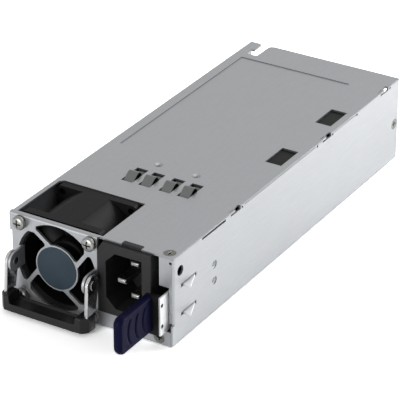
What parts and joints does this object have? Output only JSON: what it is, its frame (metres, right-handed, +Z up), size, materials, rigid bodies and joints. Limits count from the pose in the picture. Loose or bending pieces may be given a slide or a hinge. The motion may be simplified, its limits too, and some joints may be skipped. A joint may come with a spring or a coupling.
{
  "type": "hot swap server power supply",
  "caption": "Long sheet steel box with a fan behind a guard, an upright mains inlet, a swinging handle, a sprung side latch and a card edge that slides out of a server bay.",
  "frame": {"origin": "middle of the underside of the case, on the surface it rests on", "axes": "+Y from the front panel towards the rear card edge, +Z up, +X to the right seen from the front"},
  "size_m": [0.0769, 0.2127, 0.0401],
  "materials": {
    "case_steel": "zinc plated sheet steel, satin",
    "label_slate": "plain slate blue printed film",
    "nickel_screw": "bright nickel plated steel",
    "dark_screw": "dark zinc nickel plated steel",
    "foam_black": "soft black foam",
    "fan_black": "black glass filled plastic",
    "bearing_steel": "ground steel",
    "stator_copper": "enamelled copper windings",
    "magnet_grey": "bonded magnet",
    "lead_black": "black wire insulation",
    "lead_brown": "brown wire insulation",
    "plug_white": "white plug moulding",
    "inlet_black": "black moulding with a fine spark texture",
    "pin_nickel": "nickel plated brass",
    "handle_chrome": "polished plated steel",
    "grip_black": "black overmoulding, slightly glossy",
    "latch_steel": "spring steel, satin",
    "carrier_black": "black moulding",
    "tab_violet": "deep blue violet moulding, satin",
    "spring_steel": "stainless spring strip",
    "film_black": "black insulating film",
    "board_green": "green solder mask",
    "contact_gold": "hard gold plating",
    "ferrite_grey": "dark ferrite",
    "enamel_copper": "enamelled copper wire",
    "package_black": "moulded epoxy",
    "capacitor_yellow": "yellow box capacitor",
    "relay_blue": "blue relay case",
    "fuse_ceramic": "white ceramic tube",
    "can_sleeve": "dark shrink sleeve on an aluminium can",
    "sink_aluminium": "extruded aluminium",
    "winding_tape": "yellow polyester tape"
  },
  "bodies": {
    "case": {"chassis_base": "case_steel", "top_cover": "case_steel", "front_panel": "case_steel", "rear_panel": "case_steel", "label_disc": "label_slate", "top_screw": "dark_screw", "side_screw": "dark_screw", "lip_screw": "dark_screw", "fan_gasket": "foam_black", "fan_frame": "fan_black", "fan_bearings": "bearing_steel", "fan_stator": "stator_copper", "fan_screws": "nickel_screw", "fan_washers": "nickel_screw", "fan_lead": "lead_black", "fan_plug": "plug_white", "inlet_housing": "inlet_black", "inlet_pins": "pin_nickel", "inlet_leads": "lead_brown", "handle_pins": "handle_chrome", "latch_root": "latch_steel", "latch_rivets": "latch_steel", "grounding_spring": "spring_steel", "grounding_rivets": "spring_steel", "insulator_film": "film_black", "main_board": "board_green", "gold_fingers": "contact_gold", "board_standoffs": "bearing_steel", "board_screws": "nickel_screw", "choke_cores": "ferrite_grey", "choke_windings": "enamel_copper", "choke_bases": "package_black", "filter_capacitor": "capacitor_yellow", "surge_relay": "relay_blue", "inlet_fuse": "fuse_ceramic", "bulk_capacitors": "can_sleeve", "primary_heatsink": "sink_aluminium", "bridge_rectifier": "package_black", "transformer_core": "ferrite_grey", "transformer_winding": "winding_tape", "output_heatsink": "sink_aluminium", "output_capacitors": "can_sleeve", "control_card": "board_green"},
    "fan_rotor": {"fan_impeller": "fan_black", "fan_shaft": "bearing_steel", "fan_magnet": "magnet_grey"},
    "handle": {"handle_bracket": "handle_chrome", "handle_grip": "grip_black"},
    "latch": {"latch_leaf": "latch_steel", "latch_carrier": "carrier_black", "release_tab": "tab_violet"}
  },
  "joints": [
    {"name": "fan_spin", "type": "hinge", "parent": "case", "child": "fan_rotor", "pos_m": [-0.0153, -0.0745, 0.019], "axis": [0, 1, 0], "continuous": true},
    {"name": "handle_swing", "type": "hinge", "parent": "case", "child": "handle", "pos_m": [-0.0144, -0.097, 0.0202], "axis": [-1, 0, 0], "range_deg": [0, 90]},
    {"name": "latch_press", "type": "hinge", "parent": "case", "child": "latch", "pos_m": [0.03395, -0.067, 0.018], "axis": [0, 0, -1], "range_deg": [0, 12], "stiffness_Nm_per_rad": 0.8}
  ]
}
